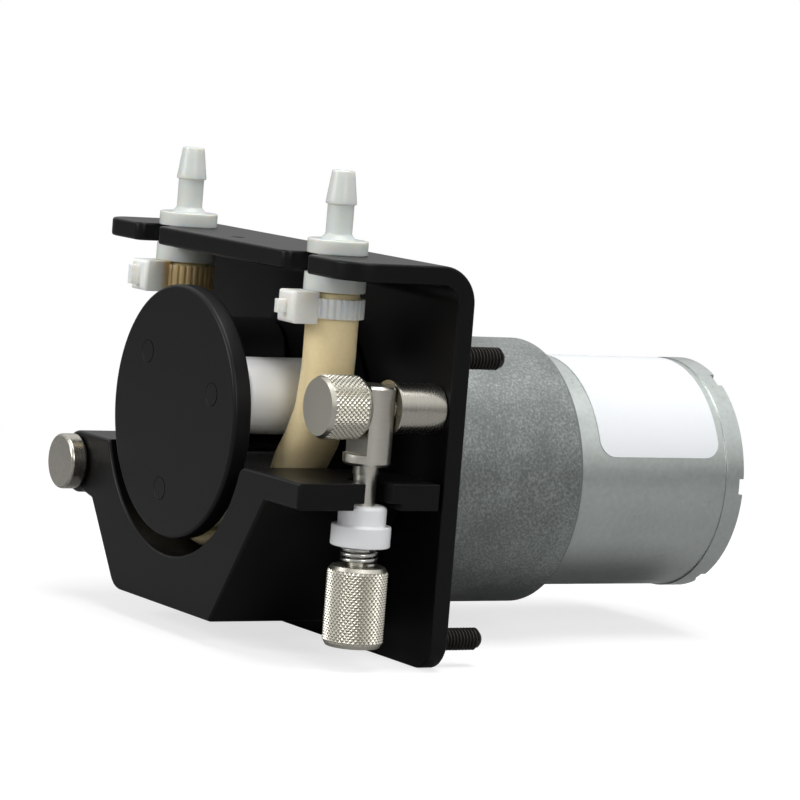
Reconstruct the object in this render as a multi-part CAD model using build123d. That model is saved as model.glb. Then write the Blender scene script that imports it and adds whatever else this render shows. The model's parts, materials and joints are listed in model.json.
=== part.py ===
from build123d import *
import math
import os

# Sizes are in millimetres. The pump axis runs along Y, the front faces -Y and Z is up. Shapes are
# drawn with the rotor axis at X = 0, Z = 0 and are raised by shaft_offset when they are written, so
# the row's origin is on the back of the mounting plate, on the axis of the gearbox and motor.

# Clearances and fits
running_fit = 0.05
slip_gap = 0.15
free_gap = 0.4
tube_gap = 0.3

# Mounting plate and its shelf
plate_half_width = 34.5
plate_thickness = 2.5
plate_bottom_z = -29.5
shelf_top_z = 23.5
shelf_depth = 19.4
bend_radius = 5.0
plate_corner_radius = 4.0
shelf_corner_radius = 4.4
tab_corner_radius = 1.2
shelf_hole_radius = 0.8
shelf_hole_y = -15.1
shelf_hole_x = -2.6

# Fasteners
screw_radius = 1.5
screw_head_radius = 2.8
screw_head_depth = 1.3
socket_radius = 1.0
socket_depth = 1.0
stud_skin = 0.7
stud_root_radius = 1.75
pin_edge_chamfer = 0.3
slot_end_inset = 0.3
panel_screw_half_x = 30.0
panel_screw_half_z = 18.6
panel_screw_reach = 7.5
gearbox_screw_circle_radius = 15.5
gearbox_screw_count = 6
gearbox_screw_reach = 2.4

# Tube and its fittings
fitting_x = 20.6
fitting_y = -13.1
tube_radius = 3.5
tube_wall = 1.6
notch_half_width = 2.6
fitting_flange_radius = 4.0
fitting_flange_height = 1.9
fitting_collar_radius = 4.1
fitting_collar_height = 2.4
fitting_bore_radius = 0.9
barb_tip_radius = 1.5
barb_radius = 2.05
barb_shank_radius = 1.75
barb_shank_height = 4.6
barb_cone_height = 4.4
spigot_length = 6.0
tube_slit_half = 0.15
tie_thickness = 0.6
tie_left_height = 3.4
tie_right_height = 2.6
tie_head_width = 4.2
tie_head_depth = 3.4
tie_head_height = 4.2
tie_tail_length = 1.0
tie_tail_thickness = 0.9
tie_centre_drop = 4.5
tie_rib_count = 28
tie_rib_depth = 0.15

# Rotor
shaft_offset = 7.3
output_shaft_radius = 3.0
output_shaft_flat = 2.5
rotor_front_y = -24.5
front_disc_radius = 17.0
front_disc_thickness = 2.7
rear_disc_radius = 15.2
rear_disc_thickness = 2.0
rear_disc_clearance = 0.8
hub_radius = 5.2
roller_radius = 5.1
roller_circle_radius = 10.9
roller_count = 3
roller_first_angle = 19.0
roller_pin_radius = 1.5
grub_length = 2.0
grub_y = -13.0

# Pressure jaw and its hinge
jaw_arc_radius = 19.3
jaw_front_y = -24.15
jaw_back_gap = 0.6
lug_end_x = 34.5
lug_top_z = -4.8
lug_bottom_z = -8.3
lug_inner_x = 25.9
jaw_bottom_z = -26.2
jaw_bottom_right_x = 13.6
jaw_bottom_left_x = -14.1
jaw_left_shoulder_x = -22.4
jaw_left_shoulder_z = -15.0
jaw_corner_radius = 1.6
jaw_lip_radius = 0.6
jaw_edge_chamfer = 0.3
pivot_x = -27.4
pivot_z = -10.5
pivot_lobe_radius = 4.3
pivot_pin_radius = 2.0
pivot_head_radius = 3.85
pivot_head_thickness = 2.6
pivot_bush_radius = 3.0

# Swing bolt, its post and its knurled parts
bolt_x = 30.7
bolt_y = -12.25
post_z = 4.6
post_radius = 3.3
post_length = 6.9
post_journal_radius = 2.0
post_washer_radius = 3.65
post_washer_thickness = 0.3
bolt_head_radius = 3.15
bolt_head_top_z = 7.6
bolt_head_bottom_z = -2.8
bolt_foot_height = 1.4
bolt_front_flat_y = -13.9
bolt_neck_radius = 1.7
bolt_neck_length = 1.2
bolt_rod_radius = 1.5
bolt_rod_end_z = -25.8
thumb_radius = 4.2
thumb_length = 6.15
thumb_thread_depth = 4.8
slot_half_width = 2.05
pocket_depth = 0.9
seat_spigot_radius = 3.15
seat_spigot_top_z = -8.0
seat_flange_top_z = -10.6
seat_flange_bottom_z = -13.35
seat_flange_radius = 3.9
spring_mean_radius = 2.25
spring_wire_radius = 0.25
spring_pitch = 0.58
nut_radius = 4.0
nut_top_z = -15.95
nut_length = 10.5
knurl_chamfer = 0.5

# Gearbox
gearbox_radius = 18.5
gearbox_length = 30.3
gearbox_wall = 1.5
gearbox_rear_wall = 2.5
gearbox_cover_thickness = 3.0
gearbox_edge_radius = 0.9
boss_radius = 6.0
boss_inner_length = 3.0
bushing_radius = 4.6
gear_module = 0.5
pinion_teeth = 10
wheel_teeth = 26
output_teeth = 36
gear_pin_radius = 1.0
pin_seat_depth = 1.2
motor_mesh_y = 23.5
middle_mesh_y = 17.0
output_mesh_y = 9.5
gear_width = 3.0
clip_radius = 4.3
clip_thickness = 0.7

# Motor
can_radius = 16.2
can_length = 28.3
can_wall = 1.2
can_rim_radius = 16.4
can_rim_length = 3.0
rim_notch_count = 6
rim_notch_width = 2.2
can_edge_radius = 0.8
rim_notch_depth = 0.7
magnet_thickness = 2.2
magnet_length = 17.0
magnet_span = 150.0
air_gap = 0.5
pole_count = 5
armature_length = 14.0
motor_shaft_radius = 1.0
motor_bearing_radius = 3.0
motor_bearing_length = 2.6
commutator_radius = 4.0
commutator_length = 3.4
end_cap_thickness = 1.6
brush_width = 2.0
brush_length = 3.0
terminal_width = 2.8
terminal_thickness = 0.6
terminal_length = 4.0
terminal_height = 8.0
motor_screw_offset = 11.0
label_thickness = 0.1
label_length = 20.0
label_start = 4.2
label_first_angle = 14.0
label_last_angle = 114.0
label_corner_radius = 2.4

# Positions that follow from the sizes above
motor_axis_z = -shaft_offset
plate_front_y = -plate_thickness
shelf_bottom_z = shelf_top_z - plate_thickness
front_disc_back_y = rotor_front_y + front_disc_thickness
rear_disc_back_y = plate_front_y - rear_disc_clearance
rear_disc_front_y = rear_disc_back_y - rear_disc_thickness
roller_front_y = front_disc_back_y + free_gap
roller_back_y = rear_disc_front_y - free_gap
jaw_back_y = plate_front_y - jaw_back_gap
jaw_top_left_z = pivot_z + pivot_lobe_radius
pivot_head_front_y = jaw_front_y - slip_gap - pivot_head_thickness
post_front_y = plate_front_y - post_length
washer_front_y = post_front_y - post_washer_thickness
bolt_back_flat_y = washer_front_y - slip_gap
thumb_back_y = bolt_front_flat_y - slip_gap
thumb_front_y = thumb_back_y - thumb_length
gearbox_inner_radius = gearbox_radius - gearbox_wall
gearbox_rear_y = gearbox_length - gearbox_rear_wall
motor_front_y = gearbox_length
motor_rear_y = motor_front_y + can_length
can_inner_radius = can_radius - can_wall
magnet_inner_radius = can_inner_radius - magnet_thickness
armature_radius = magnet_inner_radius - air_gap
armature_middle_y = motor_front_y + can_wall + free_gap + magnet_length / 2 + 4.0
end_cap_front_y = motor_rear_y - rim_notch_depth - end_cap_thickness
commutator_back_y = end_cap_front_y - free_gap
stage_distance = gear_module * (pinion_teeth + wheel_teeth) / 2
output_distance = gear_module * (pinion_teeth + output_teeth) / 2


def rod(radius, y0, y1, x=0.0, z=0.0):
    """A round bar along Y from y0 to y1."""
    return Pos(x, (y0 + y1) / 2, z) * Rot(90, 0, 0) * Cylinder(radius, y1 - y0)


def ring(outer, inner, y0, y1, x=0.0, z=0.0):
    """A round tube along Y."""
    return rod(outer, y0, y1, x, z) - rod(inner, y0 - 1, y1 + 1, x, z)


def upright(radius, z0, z1, x=0.0, y=0.0):
    """A round bar along Z from z0 to z1."""
    return Pos(x, y, (z0 + z1) / 2) * Cylinder(radius, z1 - z0)


def block(x0, x1, y0, y1, z0, z1):
    """A box given by its limits."""
    return Pos((x0 + x1) / 2, (y0 + y1) / 2, (z0 + z1) / 2) * Box(x1 - x0, y1 - y0, z1 - z0)


def turned(points):
    """A solid of revolution about Z from (radius, height) points."""
    return revolve(make_face(Plane.XZ * Polyline(*points, close=True)), Axis.Z)


def turned_along_y(points, x=0.0, z=0.0):
    """A solid of revolution about a line along Y from (radius, y) points."""
    return Pos(x, 0, z) * Rot(-90, 0, 0) * turned(points)


def front_view(face, y0, y1):
    """A face drawn in X and Z, made solid from y0 to y1."""
    return Pos(0, y1, 0) * extrude(Plane.XZ * face, amount=y1 - y0)


def polar(radius, angle, x=0.0, z=0.0):
    """The X and Z of a point at an angle from +X towards +Z."""
    turn = math.radians(angle)
    return x + radius * math.cos(turn), z + radius * math.sin(turn)


def save(shape, node):
    """Raises a finished shape into the row's frame and writes it."""
    export_step(Pos(0, 0, shaft_offset) * shape, "parts/" + node + ".step")


def corners_near(face, points, reach=0.8):
    """The vertices of a face that lie near the given points."""
    return [
        v for v in face.vertices()
        if any(math.hypot(v.X - p[0], v.Y - p[1]) < reach for p in points)
    ]


def panel_screw_places():
    """X and Z of the four panel screws."""
    return [
        (sx * panel_screw_half_x, motor_axis_z + sz * panel_screw_half_z)
        for sx in (-1, 1)
        for sz in (-1, 1)
    ]


def gearbox_screw_places():
    """X and Z of the screws that hold the gearbox to the plate."""
    step = 360 / gearbox_screw_count
    return [
        polar(gearbox_screw_circle_radius, step * i, 0, motor_axis_z)
        for i in range(gearbox_screw_count)
    ]


def countersunk_hole(x, z, through):
    """The space a flush screw takes, from the front of the plate backwards."""
    cone_back = plate_front_y + screw_head_depth
    points = [
        (0, plate_front_y), (screw_head_radius, plate_front_y), (screw_radius, cone_back),
        (screw_radius, through), (0, through),
    ]
    return turned_along_y(points, x, z)


def flush_screw(x, z, back):
    """A countersunk screw with a hexagon socket, its head flush with the plate."""
    socket = front_view(Pos(x, z) * RegularPolygon(socket_radius, 6), plate_front_y - 1,
                        plate_front_y + socket_depth)
    return countersunk_hole(x, z, back) - socket


def panel_stud(x, z):
    """A headless threaded stud, set into the back of the plate so that its front stays plain."""
    body = rod(screw_radius, 0, panel_screw_reach, x, z)
    body = chamfer(body.edges().group_by(Axis.Y)[-1], pin_edge_chamfer)
    return body + rod(stud_root_radius, plate_front_y + stud_skin, 0, x, z)


def mounting_plate():
    """Plate and shelf bent from one sheet, with the two fitting notches open to the front."""
    half = plate_half_width
    outer = Polyline((0, plate_bottom_z), (0, shelf_top_z), (-shelf_depth, shelf_top_z),
                     (-shelf_depth, shelf_bottom_z), (plate_front_y, shelf_bottom_z),
                     (plate_front_y, plate_bottom_z), close=True)
    profile = make_face(outer)
    profile = fillet(corners_near(profile, [(0, shelf_top_z)]), bend_radius)
    profile = fillet(corners_near(profile, [(plate_front_y, shelf_bottom_z)]),
                     bend_radius - plate_thickness)
    body = Pos(half, 0, 0) * extrude(Plane.YZ * profile, amount=-2 * half)
    flat = Rectangle(2 * half, shelf_top_z - plate_bottom_z)
    flat = Pos(0, (shelf_top_z + plate_bottom_z) / 2) * flat
    flat = fillet(corners_near(flat, [(half, plate_bottom_z), (-half, plate_bottom_z)]),
                  plate_corner_radius)
    body = body & front_view(flat, -shelf_depth - 1, 1)
    top = Pos(0, -shelf_depth / 2 + 1) * Rectangle(2 * half, shelf_depth + 2)
    for side in (-1, 1):
        slot = Pos(side * fitting_x, fitting_y - shelf_depth / 2)
        top -= slot * Rectangle(2 * notch_half_width, shelf_depth)
        top -= Pos(side * fitting_x, fitting_y) * Circle(notch_half_width)
    ends = [(half, -shelf_depth), (-half, -shelf_depth)]
    lips = [
        (side * fitting_x + edge * notch_half_width, -shelf_depth)
        for side in (-1, 1)
        for edge in (-1, 1)
    ]
    top = fillet(corners_near(top, ends), shelf_corner_radius)
    top = fillet(corners_near(top, lips), tab_corner_radius)
    top -= Pos(shelf_hole_x, shelf_hole_y) * Circle(shelf_hole_radius)
    reach = shelf_top_z - plate_bottom_z + 2
    body = body & Pos(0, 0, plate_bottom_z - 1) * extrude(Plane.XY * top, amount=reach)
    for x, z in gearbox_screw_places():
        body -= countersunk_hole(x, z, 1)
    for x, z in panel_screw_places():
        body -= rod(stud_root_radius, plate_front_y + stud_skin, 1, x, z)
    body -= rod(boss_radius + running_fit, plate_front_y - 1, 1)
    body -= rod(pivot_pin_radius, plate_front_y - 1, 1, pivot_x, pivot_z)
    body -= rod(post_journal_radius, plate_front_y - 1, 1, bolt_x, post_z)
    return body


def fitting(x):
    """A hose barb above the shelf, a groove in the notch, and a spigot for the pump tube."""
    top = shelf_top_z + fitting_flange_height
    shank_top = top + barb_shank_height
    tip = shank_top + barb_cone_height
    collar = shelf_bottom_z - fitting_collar_height
    groove = notch_half_width - running_fit
    spigot = tube_radius - tube_wall - running_fit
    points = [
        (0, tip), (barb_tip_radius, tip), (barb_radius, shank_top + 0.3), (barb_radius, shank_top),
        (barb_shank_radius, shank_top), (barb_shank_radius, top + 0.7), (barb_radius + 0.3, top),
        (fitting_flange_radius, top), (fitting_flange_radius, shelf_top_z), (groove, shelf_top_z),
        (groove, shelf_bottom_z), (fitting_collar_radius, shelf_bottom_z),
        (fitting_collar_radius, collar), (spigot, collar), (spigot, collar - spigot_length),
        (0, collar - spigot_length),
    ]
    body = turned(points)
    body -= upright(fitting_bore_radius, collar - spigot_length - 1, tip + 1)
    return Pos(x, fitting_y, 0) * body


def pinch_half(offset):
    """Half the tube's thickness at an angle from the roller that pinches it."""
    turn = math.radians(offset)
    under = (roller_radius + tube_gap) ** 2 - (roller_circle_radius * math.sin(turn)) ** 2
    widest = tube_radius - tube_gap / 2
    if under <= 0:
        return widest
    reach = roller_circle_radius * math.cos(turn) + math.sqrt(under)
    return min(widest, (jaw_arc_radius - tube_gap - reach) / 2)


def tube_stations():
    """Centre, heading and half thickness of the tube, where it bends from side to side."""
    start = tube_straight_end()
    pinch_angle = roller_first_angle - 360 / roller_count
    widest = pinch_half(90)
    outer = jaw_arc_radius - tube_gap
    offsets = [24, 20, 16, 12, 8, 4, 0, -4, -8, -12, -16, -20, -24]
    angles = [-28, -40, -52, -65] + [pinch_angle + step for step in offsets] + [-140, -152]
    arc = [(*polar(outer - half, angle), angle - 90, half)
           for angle in angles
           for half in [pinch_half(angle - pinch_angle)]]
    right = [
        (fitting_x, start, -90, tube_radius), (fitting_x, start - 1, -90, tube_radius),
        (fitting_x, start - 2.5, -90, tube_radius), (fitting_x - 0.2, 7.2, -95, tube_radius),
        (fitting_x - 1.0, 2.6, -110, tube_radius), (fitting_x - 2.8, -1.2, -121, widest - 0.2),
        (fitting_x - 5.2, -4.3, -122, widest - 0.1),
    ]
    left = [(-x, z, -heading_to, half) for x, z, heading_to, half in reversed(right)]
    return right + arc + left


def tube_straight_end():
    """The height where the tube starts to bend."""
    return shelf_bottom_z - fitting_collar_height - spigot_length - free_gap


def pump_tube():
    """The soft tube: round at the fittings, held against the jaw and pinched under one roller."""
    places = tube_stations()
    top = shelf_bottom_z - fitting_collar_height - running_fit
    shells = []
    for inner in (False, True):
        faces = []
        for x, z, turn, half in places:
            ahead, up = polar(1, turn)
            wide = 2 * tube_radius - half
            if inner:
                half = max(half - tube_wall, tube_slit_half)
                wide -= tube_wall
            plane = Plane(origin=(x, fitting_y, z), x_dir=(-up, 0, ahead), z_dir=(ahead, 0, up))
            faces.append(plane * Ellipse(half, wide))
        shells.append(loft(faces, ruled=True))
    body = shells[0] - shells[1]
    for side in (-1, 1):
        leg = upright(tube_radius, tube_straight_end(), top)
        leg -= upright(tube_radius - tube_wall, tube_straight_end() - 1, top + 1)
        body += Pos(side * fitting_x, fitting_y, 0) * leg
    return body


def cable_tie(x, height):
    """A ribbed band round the tube with its square head and cut tail towards the front."""
    centre = shelf_bottom_z - tie_centre_drop
    inner = tube_radius + running_fit
    outer = inner + tie_thickness
    band = upright(outer, centre - height / 2, centre + height / 2)
    ribs = Sketch() + [
        Rot(0, 0, i * 360 / tie_rib_count) * Pos(outer, 0) * Rectangle(2 * tie_rib_depth, 0.35)
        for i in range(tie_rib_count)
    ]
    band -= Pos(0, 0, centre - height / 2 - 1) * extrude(ribs, amount=height + 2)
    low = centre - tie_head_height / 2
    high = centre + tie_head_height / 2
    head = block(-tie_head_width / 2, tie_head_width / 2, -outer - tie_head_depth + 0.3,
                 -inner + 0.2, low, high)
    head = fillet(head.edges().group_by(Axis.Y)[0], 0.6)
    tail = block(-tie_tail_thickness / 2, tie_tail_thickness / 2,
                 -outer - tie_head_depth - tie_tail_length, -outer - tie_head_depth + 1,
                 centre - height / 2 + 0.4, centre + height / 2 - 0.4)
    body = band + head + tail - upright(inner, low - 1, high + 1)
    return Pos(x, fitting_y, 0) * body


def shaft_face(radius, flat):
    """The outline of a shaft with one flat."""
    return Circle(radius) & (Pos(0, -radius + flat) * Rectangle(2 * radius, 2 * radius))


def roller_places():
    """X and Z of the rollers."""
    return [
        polar(roller_circle_radius, roller_first_angle + 360 / roller_count * i)
        for i in range(roller_count)
    ]


def rotor_body():
    """The hub and rear disc, bored for the flatted shaft, the roller pins and a grub screw."""
    body = rod(rear_disc_radius, rear_disc_front_y, rear_disc_back_y)
    body += rod(hub_radius, front_disc_back_y, rear_disc_back_y)
    body -= front_view(shaft_face(output_shaft_radius, output_shaft_flat), front_disc_back_y - 1,
                       rear_disc_back_y + 1)
    for x, z in roller_places():
        body -= rod(roller_pin_radius, rear_disc_front_y - 1, rear_disc_back_y + 1, x, z)
    body -= upright(screw_radius, output_shaft_flat - 0.5, hub_radius + 1, 0, grub_y)
    return body


def front_disc():
    """The plain disc that covers the rollers."""
    body = rod(front_disc_radius, rotor_front_y, front_disc_back_y)
    body = chamfer(body.edges().filter_by(GeomType.CIRCLE), 0.3)
    for x, z in roller_places():
        body -= rod(roller_pin_radius, rotor_front_y - 1, front_disc_back_y + 1, x, z)
    return body


def roller(x, z):
    """A plain roller on its pin."""
    body = rod(roller_radius, roller_front_y, roller_back_y, x, z)
    body = chamfer(body.edges().filter_by(GeomType.CIRCLE), 0.4)
    return body - rod(roller_pin_radius + running_fit, roller_front_y - 1, roller_back_y + 1, x, z)


def jaw():
    """The pressure jaw: track, hinge lobe on the left and slotted lug on the right."""
    shoulder = (jaw_left_shoulder_x, jaw_left_shoulder_z)
    bottom_left = (jaw_bottom_left_x, jaw_bottom_z)
    bottom_right = (jaw_bottom_right_x, jaw_bottom_z)
    inner = (lug_inner_x, lug_bottom_z)
    points = [
        (pivot_x, jaw_top_left_z), (pivot_x, shoulder[1] + 1.0), shoulder, bottom_left, bottom_right,
        inner, (lug_end_x, lug_bottom_z), (lug_end_x, lug_top_z),
        (jaw_arc_radius, lug_top_z), (0, lug_top_z), (0, jaw_top_left_z),
    ]
    face = make_face(Polyline(*points, close=True))
    face = fillet(corners_near(face, [bottom_left]), 2 * jaw_corner_radius)
    face = fillet(corners_near(face, [bottom_right]), jaw_lip_radius)
    face = fillet(corners_near(face, [inner]), jaw_lip_radius)
    face += Pos(pivot_x, pivot_z) * Circle(pivot_lobe_radius)
    face = fillet(corners_near(face, [polar(pivot_lobe_radius, 293, pivot_x, pivot_z)], 1.5), 0.8)
    face -= Circle(jaw_arc_radius)
    tip = (math.sqrt(jaw_arc_radius**2 - lug_top_z**2), lug_top_z)
    face = fillet(corners_near(face, [tip]), jaw_corner_radius)
    body = front_view(face, jaw_front_y, jaw_back_y)
    body = chamfer(body.edges().group_by(Axis.Y)[0], jaw_edge_chamfer)
    slot_end = bolt_x - slot_end_inset
    body -= upright(slot_half_width, lug_bottom_z - 1, lug_top_z + 1, slot_end, bolt_y)
    body -= block(slot_end, lug_end_x + 1, bolt_y - slot_half_width, bolt_y + slot_half_width,
                  lug_bottom_z - 1, lug_top_z + 1)
    room = seat_spigot_radius + free_gap
    ceiling = lug_bottom_z + pocket_depth
    body -= upright(room, lug_bottom_z - 1, ceiling, bolt_x, bolt_y)
    body -= block(bolt_x, lug_end_x + 1, bolt_y - room, bolt_y + room, lug_bottom_z - 1, ceiling)
    return body - rod(pivot_bush_radius, jaw_front_y - 1, jaw_back_y + 1, pivot_x, pivot_z)


def pivot_pin():
    """The headed pin the jaw swings on."""
    head_back = pivot_head_front_y + pivot_head_thickness
    head = rod(pivot_head_radius, pivot_head_front_y, head_back, pivot_x, pivot_z)
    head = chamfer(head.edges().filter_by(GeomType.CIRCLE), pin_edge_chamfer)
    return head + rod(pivot_pin_radius, head_back, 0, pivot_x, pivot_z)


def clamp_post():
    """The turned post: body on the plate, journal for the swing bolt and thread for the knob."""
    stud_end = thumb_back_y - thumb_thread_depth + free_gap
    points = [
        (0, stud_end), (screw_radius, stud_end), (screw_radius, thumb_back_y),
        (post_journal_radius, thumb_back_y), (post_journal_radius, post_front_y),
        (post_radius, post_front_y), (post_radius, plate_front_y),
        (post_journal_radius, plate_front_y), (post_journal_radius, 0), (0, 0),
    ]
    return turned_along_y(points, bolt_x, post_z)


def knob(radius, low, high):
    """A round knob with chamfered ends, upright."""
    c = knurl_chamfer
    points = [
        (0, low), (radius - c, low), (radius, low + c), (radius, high - c), (radius - c, high),
        (0, high),
    ]
    return turned(points)


def thumb_screw():
    """The knurled knob that keeps the swing bolt on its post."""
    body = Pos(bolt_x, 0, post_z) * Rot(-90, 0, 0) * knob(thumb_radius, thumb_front_y, thumb_back_y)
    blind = thumb_back_y - thumb_thread_depth
    return body - rod(screw_radius + running_fit, blind, thumb_back_y + 1, bolt_x, post_z)


def eye_bolt():
    """The swing bolt: a flatted round head across the post, a neck and a threaded rod."""
    wide = 2 * bolt_head_radius
    head = upright(bolt_head_radius, bolt_head_bottom_z, bolt_head_top_z, bolt_x, bolt_y)
    head = chamfer(head.edges().filter_by(GeomType.CIRCLE), 0.35)
    head -= block(bolt_x - wide, bolt_x + wide, bolt_y - wide, bolt_front_flat_y,
                  bolt_head_bottom_z + bolt_foot_height, bolt_head_top_z + 1)
    head -= block(bolt_x - wide, bolt_x + wide, bolt_back_flat_y, bolt_y + wide,
                  bolt_head_bottom_z - 1, bolt_head_top_z + 1)
    head -= rod(post_journal_radius + running_fit, bolt_y - wide, bolt_y + wide, bolt_x, post_z)
    neck_end = bolt_head_bottom_z - bolt_neck_length
    head += upright(bolt_neck_radius, neck_end, bolt_head_bottom_z, bolt_x, bolt_y)
    return head + upright(bolt_rod_radius, bolt_rod_end_z, neck_end, bolt_x, bolt_y)


def spring_seat():
    """The collar that bears in the pocket under the lug."""
    body = upright(seat_spigot_radius, seat_flange_top_z, seat_spigot_top_z, bolt_x, bolt_y)
    body += upright(seat_flange_radius, seat_flange_bottom_z, seat_flange_top_z, bolt_x, bolt_y)
    body = chamfer(body.edges().group_by(Axis.Z)[-1], 0.3)
    bore = bolt_rod_radius + running_fit
    return body - upright(bore, seat_flange_bottom_z - 1, seat_spigot_top_z + 1, bolt_x, bolt_y)


def clamp_spring():
    """The short coil spring between the collar and the nut."""
    height = seat_flange_bottom_z - nut_top_z - 2 * spring_wire_radius - 2 * running_fit
    base = nut_top_z + spring_wire_radius + running_fit
    turns = height / spring_pitch
    line = Helix(pitch=height / round(turns), height=height, radius=spring_mean_radius)
    wire = Plane(origin=line @ 0, z_dir=line % 0) * Circle(spring_wire_radius)
    return Pos(bolt_x, bolt_y, base) * sweep(wire, path=line)


def clamp_nut():
    """The long knurled nut that sets the pressure."""
    body = Pos(bolt_x, bolt_y, 0) * knob(nut_radius, nut_top_z - nut_length, nut_top_z)
    bore = bolt_rod_radius + running_fit
    return body - upright(bore, nut_top_z - nut_length - 1, nut_top_z + 1, bolt_x, bolt_y)


def idler_places():
    """X and Z of the two idler pins, so that every pair of gears is at its mesh distance."""
    far = output_distance
    height = (shaft_offset**2 + stage_distance**2 - far**2) / (2 * shaft_offset)
    second = (math.sqrt(stage_distance**2 - height**2), motor_axis_z + height)
    turn = math.degrees(math.atan2(height, second[0])) - 60
    first = polar(stage_distance, turn, 0, motor_axis_z)
    return first, second


def gear_face(teeth, first_tooth):
    """A gear outline with straight-sided teeth, one of them at the given angle."""
    pitch = gear_module * teeth / 2
    step = 360 / teeth
    rows = [
        (pitch - 1.15 * gear_module, -0.34), (pitch, -0.21), (pitch + 0.8 * gear_module, -0.09),
        (pitch + 0.8 * gear_module, 0.09), (pitch, 0.21), (pitch - 1.15 * gear_module, 0.34),
    ]
    points = [
        polar(radius, first_tooth + step * (i + share))
        for i in range(teeth)
        for radius, share in rows
    ]
    return make_face(Polyline(*points, close=True))


def gear(teeth, first_tooth, y0, y1, place):
    """A spur gear along Y at a place in X and Z."""
    return Pos(place[0], 0, place[1]) * front_view(gear_face(teeth, first_tooth), y0, y1)


def heading(start, end):
    """The angle from one place to another."""
    return math.degrees(math.atan2(end[1] - start[1], end[0] - start[0]))


def motor_pinion():
    """The pinion on the motor shaft."""
    place = (0, motor_axis_z)
    first, _ = idler_places()
    body = gear(pinion_teeth, heading(place, first), motor_mesh_y, motor_mesh_y + gear_width, place)
    return body - rod(motor_shaft_radius, motor_mesh_y - 1, motor_rear_y, *place)


def idler(place, driver, driven, wheel_y, pinion_y):
    """A wheel and pinion in one piece: the wheel meets the driver, the pinion the driven gear."""
    gap = heading(place, driver) + 180 / wheel_teeth
    body = gear(wheel_teeth, gap, wheel_y, wheel_y + gear_width, place)
    body += gear(pinion_teeth, heading(place, driven), pinion_y, wheel_y, place)
    bore = gear_pin_radius + running_fit
    return body - rod(bore, pinion_y - 1, wheel_y + gear_width + 1, *place)


def output_gear():
    """The last gear, on the output shaft."""
    _, second = idler_places()
    gap = heading((0, 0), second) + 180 / output_teeth
    body = gear(output_teeth, gap, output_mesh_y, output_mesh_y + gear_width + 1, (0, 0))
    flat = shaft_face(output_shaft_radius, output_shaft_flat)
    return body - front_view(flat, output_mesh_y - 1, output_mesh_y + gear_width + 2)


def output_shaft():
    """The flatted output shaft, round where it runs in its bushing."""
    back = output_mesh_y + gear_width + 2
    bearing_back = gearbox_cover_thickness + boss_inner_length
    bearing_front = plate_front_y + running_fit
    flat = shaft_face(output_shaft_radius, output_shaft_flat)
    body = front_view(flat, front_disc_back_y + free_gap, back)
    return body + rod(output_shaft_radius, bearing_front, bearing_back + clip_thickness)


def shaft_clip():
    """The ring that stops the output shaft from moving forwards."""
    start = gearbox_cover_thickness + boss_inner_length + slip_gap
    hole = output_shaft_radius
    return ring(clip_radius, hole, start, start + clip_thickness - slip_gap)


def gearbox_cover():
    """The front cover with its eccentric boss."""
    body = rod(gearbox_radius, 0, gearbox_cover_thickness, 0, motor_axis_z)
    body += rod(boss_radius, plate_front_y, gearbox_cover_thickness + boss_inner_length)
    body -= rod(bushing_radius, plate_front_y - 1, gearbox_cover_thickness + boss_inner_length + 1)
    for x, z in gearbox_screw_places():
        body -= rod(screw_radius, -1, gearbox_screw_reach, x, z)
    for x, z in idler_places():
        body -= rod(gear_pin_radius, gearbox_cover_thickness - pin_seat_depth,
                    gearbox_cover_thickness + 1, x, z)
    return body


def gearbox_housing():
    """The round housing, closed towards the motor."""
    body = rod(gearbox_radius, gearbox_cover_thickness, gearbox_length, 0, motor_axis_z)
    body = fillet(body.edges().filter_by(GeomType.CIRCLE).group_by(Axis.Y)[-1], gearbox_edge_radius)
    body -= rod(gearbox_inner_radius, gearbox_cover_thickness - 1, gearbox_rear_y, 0, motor_axis_z)
    body -= rod(motor_bearing_radius, gearbox_rear_y - 1, gearbox_length + 1, 0, motor_axis_z)
    for x, z in idler_places():
        body -= rod(gear_pin_radius, gearbox_rear_y - 1, gearbox_rear_y + pin_seat_depth, x, z)
    for side in (-1, 1):
        body -= motor_screw(side)
    return body


def motor_screw(side):
    """A flush screw that holds the motor to the gearbox, from inside the housing."""
    points = [
        (0, gearbox_rear_y), (screw_head_radius - 0.3, gearbox_rear_y),
        (screw_radius, gearbox_rear_y + screw_head_depth), (screw_radius, motor_front_y + can_wall),
        (0, motor_front_y + can_wall),
    ]
    return turned_along_y(points, 0, motor_axis_z + side * motor_screw_offset)


def motor_can():
    """The drawn steel can with a rolled rear rim and its crimp notches."""
    z = motor_axis_z
    body = rod(can_radius, motor_front_y, motor_rear_y, 0, z)
    body = fillet(body.edges().filter_by(GeomType.CIRCLE).group_by(Axis.Y)[0],
                  can_edge_radius)
    body += rod(can_rim_radius, motor_rear_y - can_rim_length, motor_rear_y, 0, z)
    body -= rod(can_inner_radius, motor_front_y + can_wall, motor_rear_y + 1, 0, z)
    body -= rod(motor_bearing_radius, motor_front_y - 1, motor_front_y + can_wall + 1, 0, z)
    for side in (-1, 1):
        body -= motor_screw(side)
    for i in range(rim_notch_count):
        x, up = polar(can_radius, 360 / rim_notch_count * i)
        body -= Pos(x, motor_rear_y, z + up) * Box(rim_notch_width, 2 * rim_notch_depth,
                                                   rim_notch_width)
    return body


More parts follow.
